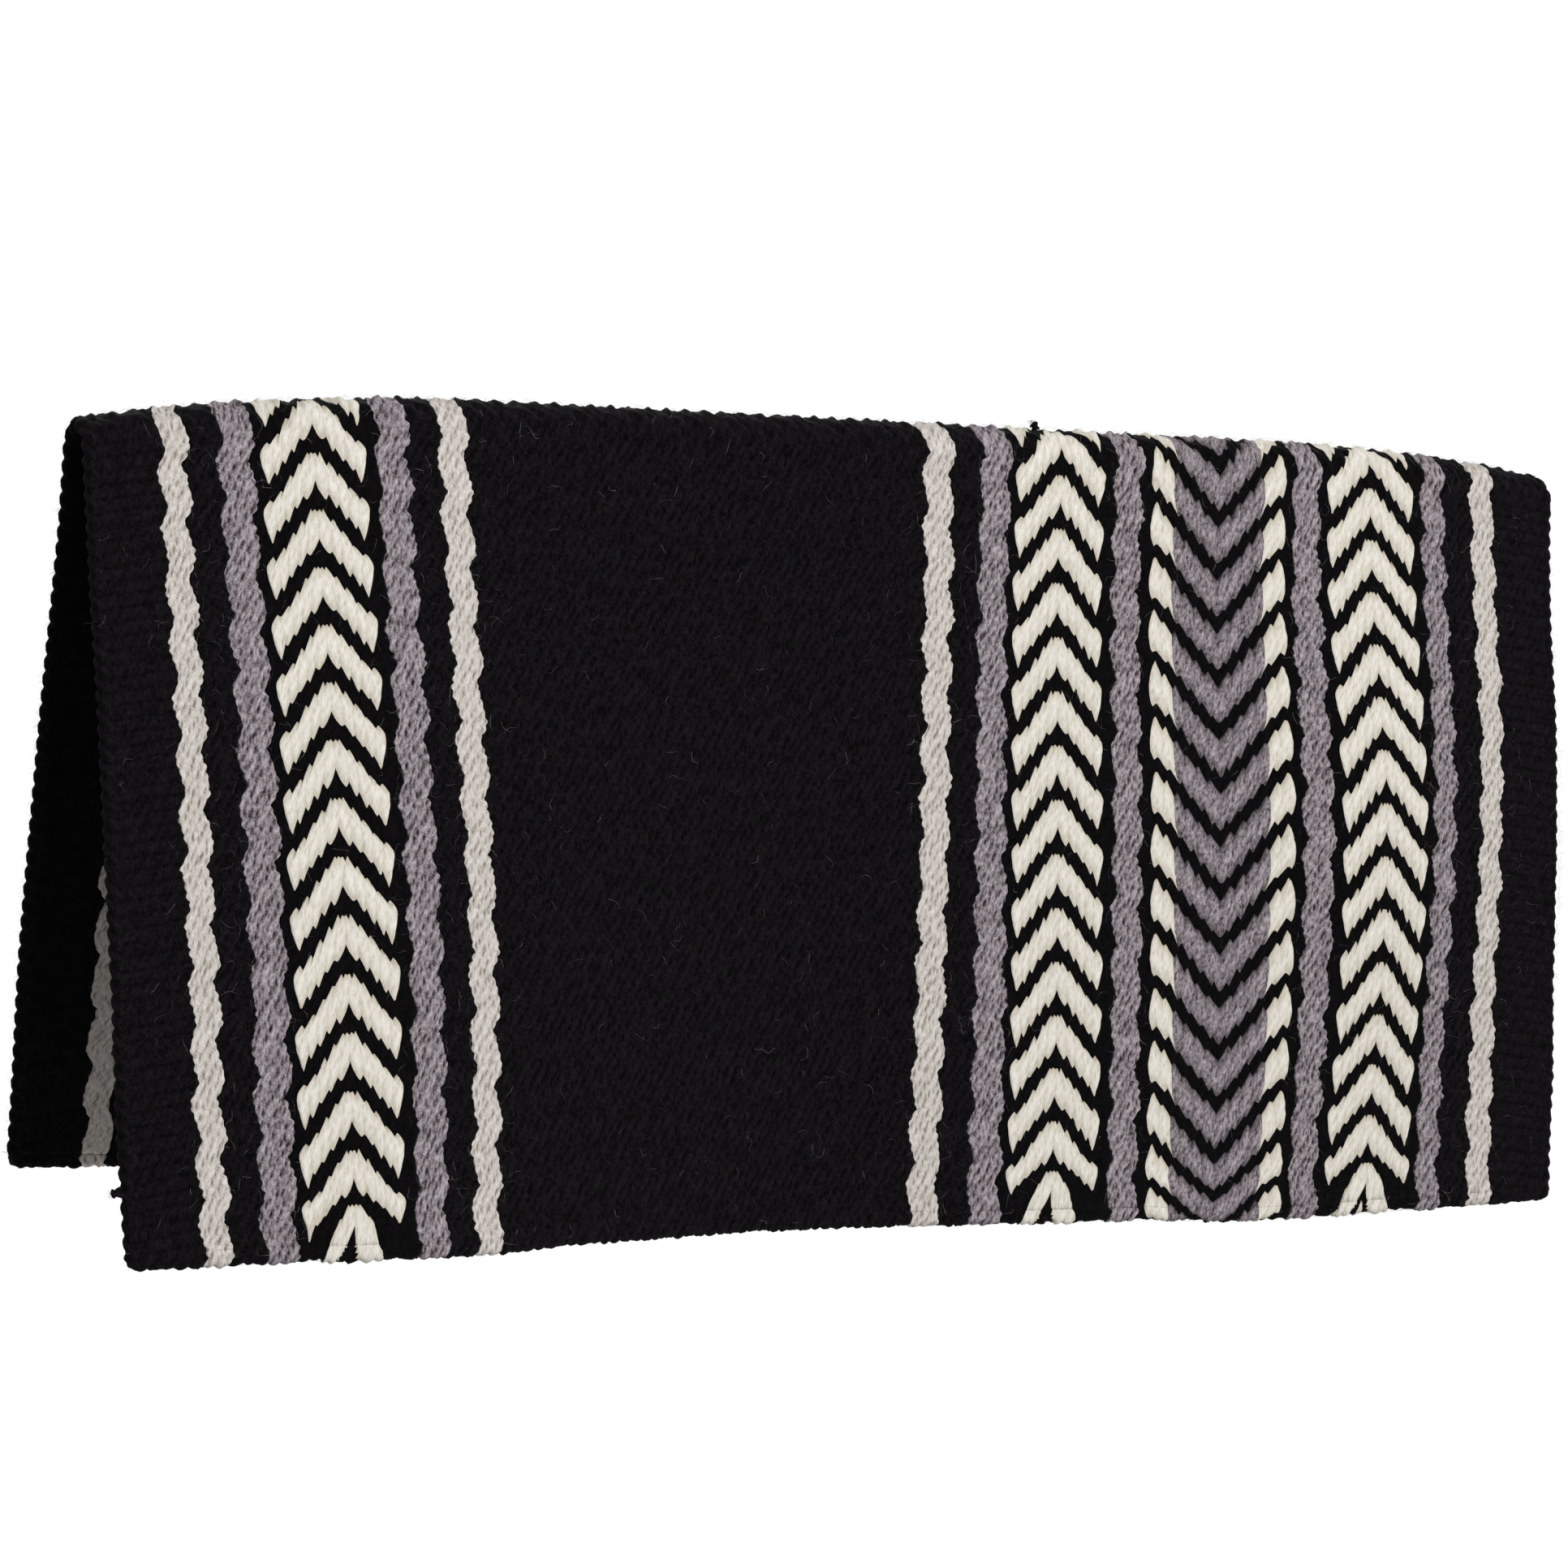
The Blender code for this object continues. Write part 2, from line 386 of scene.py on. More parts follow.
def drop(x, half):
    """Fold to hem along the cloth."""
    corner = corner_rise * np.clip(1 - (half_length - np.abs(x)) / corner_reach, 0, 1) ** 2
    if half == "front":
        return front_drop - droop(x) - np.interp(x, hem_places, hem_rises) - corner
    return rear_drop - droop(x) + rear_hem_fall - corner


def belly(x, half):
    """How far the half swells out, halfway down, at x."""
    swell = bellies[half] * smooth_step(x / half_length, *belly_shares)
    if half == "rear":
        swell = swell + rear_left_belly * smooth_step(-x / half_length, 1 - rear_left_belly_share, 1)
    return swell


def flare(x, half):
    """How far the rear's left edge stands out near its hem, at x."""
    if half == "front":
        return 0.0
    return rear_left_flare * smooth_step(-x / half_length, 1 - rear_left_belly_share, 1)


def cloth_middle(x, half, down):
    """The middle of the cloth: distance out, height, and the outward normal's two parts."""
    turn = math.pi / 2 - lean(x, half)
    arch = mid_radius * turn
    top = hinge_height - half_cloth - droop(x)
    angle = np.minimum(down, arch) / mid_radius
    out = mid_radius * np.sin(angle)
    height = top - mid_radius * (1 - np.cos(angle))
    fall = drop(x, half) - arch
    share = np.clip((down - arch) / fall, 0, None)
    bend = np.minimum(share, 1)
    swell = belly(x, half) * np.sin(np.pi * bend) ** 2
    slope = belly(x, half) * np.pi * np.sin(2 * np.pi * bend) / fall
    along, across = np.cos(turn), np.sin(turn)
    swell = swell + flare(x, half) * smooth_step(share, *flare_shares)
    out = out + share * fall * along + swell * across
    height = height - share * fall * across + swell * along
    steep = np.hypot(1, slope)
    hanging = down > arch
    out_normal = np.where(hanging, (across - slope * along) / steep, np.sin(angle))
    up_normal = np.where(hanging, (along + slope * across) / steep, np.cos(angle))
    return out, height, out_normal, up_normal


def cloth_point(x, half, down, round_hem, relief):
    """Points on the cloth's skin.

    round_hem is the angle round the hem: 0 on the outside of the cloth and pi on its inside.
    """
    out, height, out_normal, up_normal = cloth_middle(x, half, down)
    reach = half_cloth + relief
    away, ahead = reach * np.cos(round_hem), reach * np.sin(round_hem)
    y = out + away * out_normal + ahead * up_normal
    z = height + away * up_normal - ahead * out_normal
    return np.stack([x, out_signs[half] * y, z], -1)


def hem_cut(x, half):
    """How far down the cloth a band gives way to the hem's piece."""
    return drop(x, half) - 2 * hem_cord_radius


def sway(x, s):
    """How far the cloth's stripes have moved sideways, at x and s."""
    moves = np.stack([np.interp(s, sway_downs, row) for row in sways]) / 1000
    place = np.broadcast_to(np.interp(x, sway_places, np.arange(len(sway_places))), s.shape)
    first = np.minimum(place.astype(int), len(sway_places) - 2)
    share = place - first
    near = np.take_along_axis(moves, first[None], 0)[0]
    far = np.take_along_axis(moves, first[None] + 1, 0)[0]
    return near + (far - near) * share


def gather(x, s):
    """The places of rows that lie closer together near either hem, from even places s."""
    for half, out_sign in out_signs.items():
        beyond = np.maximum(-out_sign * s - drop(x, half) + gather_reach, 0)
        s = s + out_sign * (1 - gather_share) * beyond
    return s


def chance(*places):
    """A steady pseudo-random share, from 0 to 1, for each whole-numbered place."""
    mixed = sum(place * factor for place, factor in zip(places, chance_factors))
    return np.abs(np.sin(mixed + chance_start) * chance_spread) % 1


def ripple(place, length, phase=0.0):
    """A wave of this length along the cloth, from -1 to 1."""
    return np.sin(2 * math.pi * place / length + phase)


def edge(number, s):
    """The wavy edge where a band starts, at s along the cloth."""
    place, phase = bands[number][3:]
    if number in (0, len(bands) - 1):
        return np.full_like(s, place)
    turns = s / wave_pitches.get(number, pattern_pitch) - phase + (wave_rise_share - 0.5) / 2
    wave = np.floor(turns)
    turns = turns - wave
    height = wave_height * (1 + wave_stray * (chance(wave, number, wave_key) - 0.5))
    rising = turns / wave_rise_share
    falling = (1 - turns) / (1 - wave_rise_share)
    share = np.clip(np.minimum(rising, falling), 0, 1)
    coloured_left = bands[number - 1][2] in ("grey", "purple")
    share = 1 - (1 - share) ** wave_bow if coloured_left else share**wave_bow
    turn = s / edge_nub_length + edge_nub_phase * number
    size = edge_nub_least + chance(np.floor(turn), number, nub_key)
    inset = edge_nub * np.abs(np.sin(math.pi * turn)) * size - edge_inset
    return place + height * (2 * share - 1) + (inset if coloured_left else -inset)


def grains(x, s, wool_name, number):
    """How far each place stands out: 1 on a grain of yarn, and 0 in the slits where grains meet."""
    (first_x, first_s), (second_x, second_s) = first_step, second_step
    bend = wander_bend * ripple(x, wander_bend_length)
    x = x + wander * ripple(s, wander_lengths[0], wander_phases[0] * number + bend)
    s = s + wander * ripple(x, wander_lengths[1], wander_phases[1] * number)
    size = first_x * second_s - second_x * first_s
    first = (x * second_s - s * second_x) / size
    second = (s * first_x - x * first_s) / size
    depth = np.zeros(first.shape)
    for step in ((0, 0), (0, 1), (1, 0), (1, 1)):
        row, column = np.floor(first) + step[0], np.floor(second) + step[1]
        stray_x = slit_strays[0] * (chance(row, column, number) - 0.5)
        stray_s = slit_strays[1] * (chance(column, row, number) - 0.5)
        down = s - row * first_s - column * second_s - stray_s
        across = x - row * first_x - column * second_x - stray_x + slit_lean * down
        near = np.exp(-((across / slit_reach[wool_name]) ** 2) - (down / slit_length) ** 2)
        deep = slit_most * (1 - slit_fade * chance(row + column, row, slit_key))
        depth = np.maximum(depth, near * deep)
    seam = 1 - np.sqrt(np.abs(np.sin(math.pi * first) * np.sin(math.pi * second)))
    return 1 - np.clip(np.maximum(depth, seam_share * seam), 0, 1)


def lumps(x, s):
    """The slow unevenness of the cloth's surface, which is strongest along the fold."""
    along = ripple(x, lump_lengths[0], lump_bends[0] * ripple(s, lump_bend_lengths[0]))
    down = ripple(s, lump_lengths[1], lump_bends[1] * ripple(x, lump_bend_lengths[1]) + lump_phase)
    slow = ripple(x, slow_lump_lengths[0], slow_lump_phase) * ripple(s, slow_lump_lengths[1])
    near_fold = 1 + fold_lump * np.exp(-((s / fold_lump_reach) ** 2))
    crossed, ridged, wide = lump_shares
    return lump_height * near_fold * (crossed * along * down + ridged * along + wide * slow)


def lobe_share(distance, lobe):
    """The lobe that a distance from the centre is in, and how far across the lobe it is."""
    place = distance / lobe
    number = np.floor(place + hair)
    return number, np.clip(place - number, 0, 1)


class Lines:
    """The lines of one band that run down the cloth, and the rows that cross them.

    What belongs to the lines is kept as columns, so that it spreads over the rows.
    """

    def __init__(self, number):
        self.number = number
        self.name, self.kind, self.wool, left, _ = bands[number]
        self.width = bands[number + 1][3] - left
        self.patterned = self.kind in forms
        if self.patterned:
            self.form = forms[self.kind]
            self.centre, self.phase, self.darkness, self.shifts, self.moves = patterns[self.name]
            half_count = self.form.lobes * self.form.lobe_lines
            count = 2 * (half_count + border_lines)
            away = np.arange(count + 1)[:, None] - count / 2
            self.inner = np.clip(away / half_count, -1, 1)
            self.border = np.clip((np.abs(away) - half_count) / border_lines, 0, 1)
            self.lobe = self.form.widest / self.form.lobes
            self.distance = np.abs(self.inner) * self.form.widest
            self.depth = lobe_depth
        else:
            grain_width, self.grain_length, grain_lines, self.grain_rows, self.depth = grain_forms[self.wool]
            count = round(self.width / grain_width) * grain_lines
            if count % 2:
                count += grain_lines
        self.line = np.arange(count + 1)[:, None]
        self.nominal = left + self.width * self.line / count

    def light_way(self, row):
        """0 at the top of a light arm, 1 at its foot, and back to 0 down the dark arm."""
        place = np.mod(row, rows_per_pitch)
        return np.where(place <= light_rows, place / light_rows, 1 - (place - light_rows) / dark_rows)

    def last_chevron(self, apex, arm):
        """How far the arms reach below their apexes: further on the last chevron at the front hem."""
        hem = drop(self.nominal, "front")
        steep = smooth_step(hem - apex, *steep_rises) * np.minimum(self.distance / loop_half, 1) ** 2
        in_drop = smooth_step(hem - apex, *drop_rises)
        return arm * (1 + hem_steepening * steep) + drop_slope * self.distance * in_drop

    def raw_rows(self):
        """s of every row on every line, over the whole length of the cloth, and the row numbers."""
        longest = front_drop + 2 * cloth_thickness + gather_reach
        furthest = rear_drop + 2 * cloth_thickness + gather_reach
        if not self.patterned:
            step = self.grain_length / self.grain_rows
            numbers = np.arange(math.floor(-furthest / step), math.ceil(longest / step) + 1)
            return np.broadcast_to(numbers * step, (len(self.line), len(numbers))), numbers
        apex_round = self.form.apex_round
        reach = np.hypot(self.distance, apex_round) - apex_round
        level = end_level_share * self.form.widest
        reach -= np.maximum(self.distance - level, 0) * (1 - end_slope_share)
        arm = self.form.way * self.form.slope * reach
        most = np.abs(arm).max()
        low = math.floor((-furthest - most) / pattern_pitch) - spare_pitches
        high = math.ceil((longest + most) / pattern_pitch) + spare_pitches
        numbers = np.arange(low * rows_per_pitch, high * rows_per_pitch + 1)
        pitch, row = np.divmod(numbers, rows_per_pitch)
        dark = self.darkness * np.interp(np.abs(self.inner), dark_places, self.form.dark_shares)
        light_place = dark / 2 + (1 - dark) * row / light_rows
        dark_place = 1 - dark / 2 + dark * (row - light_rows) / dark_rows
        place = np.where(row <= light_rows, light_place, dark_place) + pitch + self.phase
        lobe, across = lobe_share(self.distance, self.lobe)
        tooth = np.minimum(across / tooth_share, (1 - across) / (1 - tooth_share)) * 2 - 1
        lane = np.where(self.inner < 0, -1, 1) * (lobe + 1)
        top = chance(lane, pitch + (row > light_rows), top_key) - 0.5
        foot = chance(lane, pitch, foot_key) - 0.5
        stray = top + (foot - top) * self.light_way(numbers)
        tooth = lobe_tooth * (1 + 2 * tooth_stray * stray) * tooth + lobe_stray * stray
        apex = place * pattern_pitch
        if self.kind == "chevrons":
            arm = self.last_chevron(apex, arm)
        s = apex + arm + self.form.way * tooth
        s = s + np.interp(s, pattern_downs, self.shifts)
        return gather(self.nominal, s), numbers

    def light(self, row):
        """Which rows are in a light arm of the pattern. The chevrons' last arms end above the hem."""
        in_light_arm = np.mod(row, rows_per_pitch) < light_rows
        if self.kind != "chevrons":
            return in_light_arm
        last_pitch = math.floor((front_drop - last_light_rise) / pattern_pitch - self.phase)
        return in_light_arm & (np.floor(row / rows_per_pitch) <= last_pitch)

    def x(self, s, row):
        """Where each line is along the fold, at s and at that row."""
        left, right = edge(self.number, s), edge(self.number + 1, s)
        if not self.patterned:
            plain = left + (right - left) * (self.line / self.line[-1])
            return plain + sway(self.nominal, s)
        way = self.light_way(row)
        place = np.mod(row, rows_per_pitch)
        insets = self.form.contour_insets
        inset = np.interp(place / light_rows, self.form.contour_places, insets)
        inset = np.where(place <= light_rows, inset, insets[0] + (insets[-1] - insets[0]) * way)
        centre = self.centre + np.interp(s, pattern_downs, self.moves)
        side = np.sign(self.inner)
        near = smooth_step(np.abs(self.inner), 0, 1 / self.form.lobes)
        far = 1 - np.abs(self.inner) ** lobe_lean_power
        shift = self.form.way * lobe_lean * arm_length * (way - 0.5) * side * near * far
        middle = centre + self.inner * (self.form.widest - inset) + shift
        if self.kind == "chevrons":
            low = np.maximum(s - drop(self.nominal, "front") + lean_rise, 0)
            middle = middle - drop_lean * low * (1 - np.abs(self.inner))
        outer = np.where(side < 0, left, right)
        return middle + (outer - middle) * self.border + sway(self.nominal, s)

    def relief(self, x, s, row):
        """How far the yarn stands out, as a share: 0 in the creases and 1 on top."""
        bulge = grains(x, s, self.wool, self.number)
        if self.kind == "rows":
            rib = np.sqrt(np.abs(np.sin(math.pi * s / self.grain_length)))
            return (1 - rib_share) * bulge + rib_share * rib
        if self.kind == "grains":
            return bulge
        place = np.mod(row, rows_per_pitch) / light_rows
        number, across = lobe_share(self.distance, self.lobe)
        ends = np.sin(np.pi * np.clip(place, 0, 1)) ** lobe_end_power
        puff = (1 - puff_share + puff_share * np.sin(np.pi * across) ** 0.5) * ends
        in_cream = (self.kind == "chevrons") | (number >= self.form.lobes - cream_lobes)
        share = np.where(in_cream, cream_grain_share, purple_grain_share)
        light = np.maximum(puff * (1 - share + share * bulge), dark_level)
        in_light = (np.abs(self.inner) < 1) & (place < 1)
        return np.where(in_light, light, dark_level + dark_grain_share * bulge)

    def colour(self, row):
        """The wool of the faces between the lines, at these rows, as material slots."""
        if not self.patterned:
            return np.full((len(self.line) - 1, row.shape[-1]), wool_slots[self.wool])
        slots = np.where(self.light(row), cream, black)
        if self.kind == "diamonds":
            distance = (self.distance[:-1] + self.distance[1:]) / 2
            inner = distance < self.lobe * (self.form.lobes - cream_lobes)
            slots = np.where(self.light(row) & inner, purple, slots)
        bordered = (self.border[:-1] + self.border[1:]) > 0
        return np.where(bordered, black, slots)


def rows_at(places, lines_of_rows, numbers):
    """The row, with a fraction, at each place of each line."""
    return np.array([np.interp(place, line, numbers) for place, line in zip(places, lines_of_rows)])


def clipped_rows(lines, half):
    """The rows of one half from the fold down to the hem's cut, an even number of spaces.

    Returns down, s, the row at each place, the row numbers, and the first and last rows to keep.
    """
    raw, numbers = lines.raw_rows()
    sign = -out_signs[half]
    cut = hem_cut(lines.nominal, half)
    down = sign * raw
    if half == "rear":
        down, numbers = down[:, ::-1], numbers[::-1]
    wanted = (down > 0).any(0) & (down < cut).any(0)
    first, last = np.flatnonzero(wanted)[[0, -1]] + (-2, 2)
    last += (last - first) % 2
    down, numbers = down[:, first : last + 1], numbers[first : last + 1]
    lowest = (down <= 0).sum(1, keepdims=True) - 1
    highest = down.shape[1] - (down >= cut).sum(1, keepdims=True)
    kept = np.clip(down, 0, cut)
    return kept, sign * kept, rows_at(kept, down, numbers), numbers, lowest, highest


class Skin:
    """Points and faces of a mesh, gathered a grid at a time."""

    def __init__(self):
        self.points, self.weave, self.count = [], [], 0
        self.faces, self.slots, self.walls = [], [], []

    def add_points(self, points, weave):
        """Adds points and returns their numbers."""
        shape = points.shape[:-1]
        self.points.append(points.reshape(-1, 3))
        self.weave.append(weave.reshape(-1, 3))
        numbers = self.count + np.arange(np.prod(shape)).reshape(shape)
        self.count += numbers.size
        return numbers

    def add_faces(self, a, b, c, d, slots, wall=False):
        """Adds four-sided faces. Where two corners are one point, it is a triangle.

        A wall is hidden where two pieces meet, and doesn't bend the shading of the faces beside it.
        """
        self.faces.append(np.stack([a, b, c, d], -1).reshape(-1, 4))
        self.slots.append(np.broadcast_to(slots, a.shape).reshape(-1))
        self.walls.append(np.full(a.size, wall))

    def add_grid(self, grid, slots):
        """Adds a face in every space of a grid of point numbers."""
        near, far = grid[..., :-1, :], grid[..., 1:, :]
        self.add_faces(near[..., :-1], near[..., 1:], far[..., 1:], far[..., :-1], slots)

    def mesh(self, name, flipped):
        """The gathered faces as one mesh, without unused points or faces of no area."""
        points, weave = np.concatenate(self.points), np.concatenate(self.weave)
        faces, slots = np.concatenate(self.faces), np.concatenate(self.slots)
        if flipped:
            faces = faces[:, ::-1]
        fresh = faces != np.roll(faces, 1, 1)
        sides = fresh.sum(1)
        keep = sides >= 3
        faces, fresh, sides, slots = faces[keep], fresh[keep], sides[keep], slots[keep]
        smooth = ~np.concatenate(self.walls)[keep]
        used, corners = np.unique(faces[fresh], return_inverse=True)
        mesh = bpy.data.meshes.new(name)
        mesh.vertices.add(len(used))
        mesh.vertices.foreach_set("co", points[used].astype(np.float32).ravel())
        mesh.loops.add(len(corners))
        mesh.loops.foreach_set("vertex_index", corners.astype(np.int32).ravel())
        mesh.polygons.add(len(sides))
        loop_starts = np.concatenate([[0], np.cumsum(sides)[:-1]]).astype(np.int32)
        mesh.polygons.foreach_set("loop_start", loop_starts)
        mesh.polygons.foreach_set("material_index", slots.astype(np.int32))
        place = mesh.attributes.new("weave", "FLOAT_VECTOR", "POINT")
        place.data.foreach_set("vector", weave[used].astype(np.float32).ravel())
        mesh.update(calc_edges=True)
        mesh.polygons.foreach_set("use_smooth", smooth)
        return mesh


def ringed(grid):
    """A grid of point numbers whose last column meets its first again."""
    return np.concatenate([grid, grid[..., :1]], -1)


def close_ring(skin, ring):
    """Closes an end of a black tube with triangles that fan out from the ring's first point."""
    near = ring[1:-1]
    skin.add_faces(np.full_like(near, ring[0]), ring[2:], near, near, black)


def close_side(skin, outer, inner, slots, reverse, wall=False):
    """Joins an outer line of points to an inner line, which has every other one."""
    a, b, c = outer[:-2:2], outer[1:-1:2], outer[2::2]
    i, j = inner[:-1], inner[1:]
    for p, q, r in ((a, b, i), (b, j, i), (b, c, j)):
        if reverse:
            p, r = r, p
        skin.add_faces(p, q, r, r, slots, wall)


def add_band(skin, lines, half):
    """One band of one half, from the fold to the hem's cut, closed all round."""
    down, s, rows, numbers, lowest, highest = clipped_rows(lines, half)
    x = lines.x(s, rows)
    bulge = lines.relief(x, s, rows)
    relief = lines.depth * (bulge - level_bulge) + lumps(x, s)
    # The bulge also sets the painted shade in the wool's creases
    place = np.stack([x, s, bulge], -1)
    every = np.arange(len(numbers))
    outer = skin.add_points(cloth_point(x, half, down, 0.0, relief), place)
    outer = np.take_along_axis(outer, np.clip(every, lowest, highest), 1)
    thin = (slice(None, None, 2), slice(None, None, 2))
    inside = cloth_point(x[thin], half, down[thin], math.pi, inner_depth_share * relief[thin])
    inner = skin.add_points(inside, place[thin])
    kept = np.clip(every[: inner.shape[1]], lowest[::2] // 2, -(-highest[::2] // 2))
    inner = np.take_along_axis(inner, kept, 1)
    slots = lines.colour((numbers[:-1] + numbers[1:])[None, :] / 2)
    skin.add_grid(outer, slots)
    skin.add_grid(inner.T, slots[::2, ::2].T)
    close_side(skin, outer[0], inner[0], slots[0, ::2], True)
    close_side(skin, outer[-1], inner[-1], slots[-1, ::2], False)
    close_side(skin, outer[:, 0], inner[:, 0], slots[::2, 0], False, True)
    close_side(skin, outer[:, -1], inner[:, -1], slots[::2, -1], True, True)


def add_hem(skin, lines, half):
    """The weft's turn round the outermost warp, from the cut outside to the cut inside."""
    sign = -out_signs[half]
    cut = hem_cut(lines.nominal, half)
    start = drop(lines.nominal, half) - half_cloth
    ahead = np.arange(hem_rows) / hem_rows
    steps = np.concatenate([ahead, np.ones(wrap_rows + 1), ahead[::-1]])
    turns = np.arange(wrap_rows + 1) / wrap_rows * math.pi
    angles = np.concatenate([np.zeros(hem_rows), turns, np.full(hem_rows, math.pi)])
    down = cut + (start - cut) * steps
    s = sign * (down + half_cloth * np.minimum(angles, math.pi - angles))
    rows = rows_at(s, *lines.raw_rows())
    x = lines.x(s, rows)
    bulge = lines.relief(x, s, rows)
    loop = np.floor(lines.nominal / loop_width)
    turn = lines.nominal / loop_width - loop
    proud = loop_proud[0] + loop_proud[1] * chance(loop, loop_key + sign)
    bump = proud * np.sin(np.pi * turn) ** loop_roundness * np.sin(angles) ** 2
    relief = lines.depth * (bulge - level_bulge) + lumps(x, s) + bump
    points = cloth_point(x, half, down, angles, relief)
    grid = skin.add_points(points, np.stack([x, s, bulge], -1))
    slots = lines.colour((rows[:-1, :-1] + rows[1:, 1:]) / 2)
    skin.add_grid(grid, slots)
    skin.add_faces(grid[:-1, -1], grid[:-1, 0], grid[1:, 0], grid[1:, -1], slots[:, 0], True)
    middle = grid.shape[1] // 2
    for side, first, second in ((0, 1, 0), (-1, 0, 1)):
        near, far = grid[side, : middle + 1], grid[side, ::-1][: middle + 1]
        a, b = near[first : middle + first], near[second : middle + second]
        c, d = far[second : middle + second], far[first : middle + first]
        skin.add_faces(a, b, c, d, slots[side, 0], True)


def value_at(node, name, value):
    """Sets an input of a node."""
    node.inputs[name].default_value = value


def maths(nodes, links, operation, first, second):
    """A maths node's result, from numbers or from other nodes' results."""
    node = nodes.new("ShaderNodeMath")
    node.operation = operation
    for socket, value in zip(node.inputs, (first, second)):
        if isinstance(value, (int, float)):
            socket.default_value = value
        else:
            links.new(value, socket)
    return node.outputs[0]


def weighted(nodes, links, results, shares):
    """The sum of these results, each times its share."""
    total = 0.0
    for result, share in zip(results, shares):
        total = maths(nodes, links, "ADD", total, maths(nodes, links, "MULTIPLY", result, share))
    return total


def wool_grain_group():
    """Spun wool: heather between light and dark fibres, the yarn's bulge (the mask for the painted shade in
    its creases), and its fibres' height.
    """
    group = bpy.data.node_groups.new("Wool grain", "ShaderNodeTree")
    for way, names in (("INPUT", grain_inputs), ("OUTPUT", ("Heather", "Bulge", "Height"))):
        for name in names:
            group.interface.new_socket(name, in_out=way, socket_type="NodeSocketFloat")
    nodes, links = group.nodes, group.links
    given, result = nodes.new("NodeGroupInput"), nodes.new("NodeGroupOutput")
    place = nodes.new("ShaderNodeAttribute")
    place.attribute_name = "weave"
    parts = nodes.new("ShaderNodeSeparateXYZ")
    links.new(place.outputs["Vector"], parts.inputs[0])
    x, s = parts.outputs["X"], parts.outputs["Y"]
    leaned = maths(nodes, links, "ADD", x, maths(nodes, links, "MULTIPLY", s, given.outputs["Lean"]))
    grain = nodes.new("ShaderNodeCombineXYZ")
    links.new(maths(nodes, links, "DIVIDE", leaned, given.outputs["Grain Width"]), grain.inputs["X"])
    links.new(maths(nodes, links, "DIVIDE", s, given.outputs["Grain Length"]), grain.inputs["Y"])
    noises = []
    for scale, detail in wool_noises:
        node = nodes.new("ShaderNodeTexNoise")
        value_at(node, "Scale", scale)
        value_at(node, "Detail", detail)
        links.new(grain.outputs[0], node.inputs["Vector"])
        noises.append(node.outputs["Fac"])
    links.new(weighted(nodes, links, noises, heather_shares), result.inputs["Heather"])
    links.new(weighted(nodes, links, noises, height_shares), result.inputs["Height"])
    links.new(parts.outputs["Z"], result.inputs["Bulge"])
    return group


def ramp(nodes, links, factor, *stops):
    """The colour at a factor between two stops, each a place and a colour."""
    node = nodes.new("ShaderNodeValToRGB")
    for element, (place, colour) in zip(node.color_ramp.elements, stops):
        element.position = place
        element.color = (*colour, 1)
    links.new(factor, node.inputs["Fac"])
    return node.outputs["Color"]


wool_grain = wool_grain_group()


def wool(name, dark, light, painted_crease_shade, contrast, grain, bump):
    """A wool yarn's material: heathered from dark to light fibres, with painted shade that darkens its
    creases where the yarn's bulge is low.
    """
    material = bpy.data.materials.new(name)
    material.use_nodes = True
    nodes, links = material.node_tree.nodes, material.node_tree.links
    shader = nodes["Principled BSDF"]
    value_at(shader, "Roughness", wool_roughness)
    value_at(shader, "Specular IOR Level", wool_shine)
    value_at(shader, "Sheen Weight", sheen_weight)
    value_at(shader, "Sheen Roughness", sheen_roughness)
    group = nodes.new("ShaderNodeGroup")
    group.node_tree = wool_grain
    for socket, value in zip(grain_inputs, grain):
        value_at(group, socket, value)
    heather, bulge = group.outputs["Heather"], group.outputs["Bulge"]
    fibre = ramp(nodes, links, heather, (0.5 - contrast, dark), (0.5 + contrast, light))
    # Painted shade: the colour is multiplied down towards the crease colour in the slits and creases, where
    # the bulge is low
    painted_shade = ramp(nodes, links, bulge, (0, painted_crease_shade), (unshaded_bulge, (1, 1, 1)))
    colour = nodes.new("ShaderNodeMix")
    colour.data_type = "RGBA"
    colour.blend_type = "MULTIPLY"
    value_at(colour, "Factor", 1)
    links.new(fibre, colour.inputs["A"])
    links.new(painted_shade, colour.inputs["B"])
    links.new(colour.outputs["Result"], shader.inputs["Base Color"])
    relief = nodes.new("ShaderNodeBump")
    value_at(relief, "Strength", 1.0)
    value_at(relief, "Distance", bump)
    links.new(group.outputs["Height"], relief.inputs["Height"])
    links.new(relief.outputs["Normal"], shader.inputs["Normal"])
    return material


def linear(*colour):
    """A screen colour, 0 to 255, as the linear values a shader takes."""
    return tuple((c / 255 / 12.92) if c <= 10 else ((c / 255 + 0.055) / 1.055) ** 2.4 for c in colour)


# Each wool's dark and light fibres, the painted shade in its creases, its contrast, its grain's width,
# length and lean, and its bump's height
wools = {
    "black": wool("Black wool", linear(0, 0, 0), linear(29, 26, 29), (0.05, 0.05, 0.05), 0.13,
                  (0.0010, 0.0020, 0.35), 0.0003),
    "grey": wool("Light grey wool", linear(180, 173, 165), linear(228, 222, 217), (0.34, 0.29, 0.25),
                 0.13, (0.0011, 0.0026, 0.30), 0.0004),
    "purple": wool("Purple grey wool", linear(70, 62, 66), linear(196, 185, 190), (0.05, 0.035, 0.04),
                   0.14, (0.0013, 0.0026, 0.30), 0.0005),
    "cream": wool("Cream wool", linear(217, 212, 200), linear(238, 235, 227), (0.56, 0.50, 0.41),
                  0.12, (0.0010, 0.0034, 0.22), 0.0004),
}


def show(name, skin, flipped, colour, *nodes):
    """A piece of the blanket, in place of its CAD nodes."""
    mesh = skin.mesh(name, flipped)
    for key in wool_slots:
        mesh.materials.append(wools[key])
    piece = bpy.data.objects.new(name, mesh)
    bpy.context.collection.objects.link(piece)
    if nodes:
        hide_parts(*nodes)
    return piece


def hang(piece):
    """Bakes a piece's place into the points of its mesh."""
    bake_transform(piece)


